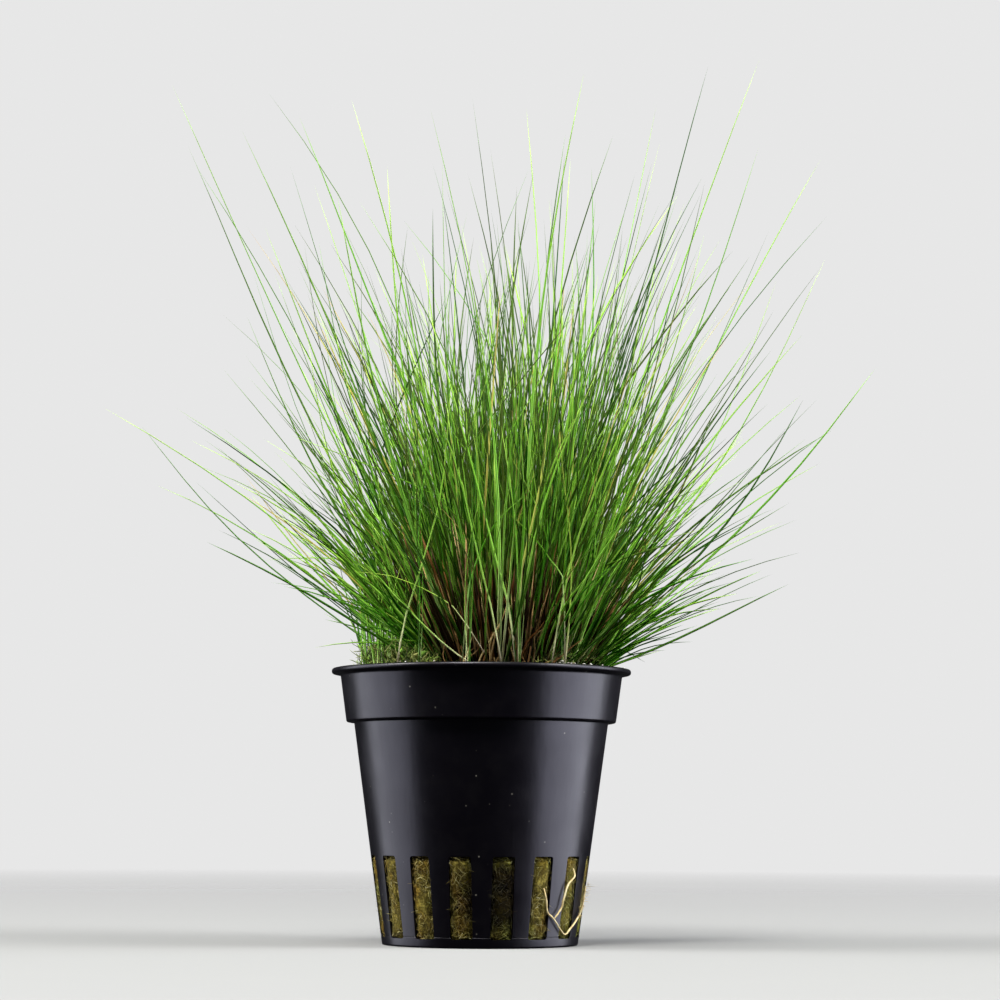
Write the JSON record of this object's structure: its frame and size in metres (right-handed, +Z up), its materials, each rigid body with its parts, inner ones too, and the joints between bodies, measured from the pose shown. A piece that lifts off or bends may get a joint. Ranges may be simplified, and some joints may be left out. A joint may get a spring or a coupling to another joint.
{
  "type": "potted dwarf hairgrass",
  "caption": "Tuft of fine upright grass blades for an aquarium, rooted in a mineral wool plug that fills a tapered black pot with slots round its foot.",
  "frame": {"origin": "middle of the pot's underside, where the pot rests", "axes": "+Z up along the pot's axis, -Y towards the front, with a slot just left of it, and +X to the right seen from the front"},
  "size_m": [0.1437, 0.1265, 0.166],
  "materials": {
    "pot_plastic": "black moulded plastic with a satin shine",
    "mineral_wool": "damp olive-brown fibres",
    "root": "pale straw root",
    "grass_blades": "satin green blades, red-brown at the foot"
  },
  "bodies": {
    "root": {"pot": "pot_plastic", "rockwool": "mineral_wool", "root_strand": "root", "root_branch": "root", "shoot_01": "grass_blades", "shoot_02": "grass_blades", "shoot_03": "grass_blades", "shoot_04": "grass_blades", "shoot_05": "grass_blades", "shoot_06": "grass_blades", "shoot_07": "grass_blades", "shoot_08": "grass_blades", "shoot_09": "grass_blades", "shoot_10": "grass_blades", "shoot_11": "grass_blades", "shoot_12": "grass_blades", "shoot_13": "grass_blades", "shoot_14": "grass_blades", "shoot_15": "grass_blades", "shoot_16": "grass_blades", "shoot_17": "grass_blades", "shoot_18": "grass_blades", "shoot_19": "grass_blades", "shoot_20": "grass_blades", "shoot_21": "grass_blades", "shoot_22": "grass_blades", "shoot_23": "grass_blades", "shoot_24": "grass_blades", "shoot_25": "grass_blades", "shoot_26": "grass_blades", "shoot_27": "grass_blades", "shoot_28": "grass_blades", "shoot_29": "grass_blades", "shoot_30": "grass_blades", "shoot_31": "grass_blades", "shoot_32": "grass_blades", "shoot_33": "grass_blades", "shoot_34": "grass_blades", "shoot_35": "grass_blades", "shoot_36": "grass_blades", "shoot_37": "grass_blades", "shoot_38": "grass_blades", "shoot_39": "grass_blades", "shoot_40": "grass_blades", "shoot_41": "grass_blades", "shoot_42": "grass_blades", "shoot_43": "grass_blades", "shoot_44": "grass_blades", "shoot_45": "grass_blades", "shoot_46": "grass_blades", "shoot_47": "grass_blades", "shoot_48": "grass_blades", "shoot_49": "grass_blades", "shoot_50": "grass_blades"}
  },
  "joints": []
}
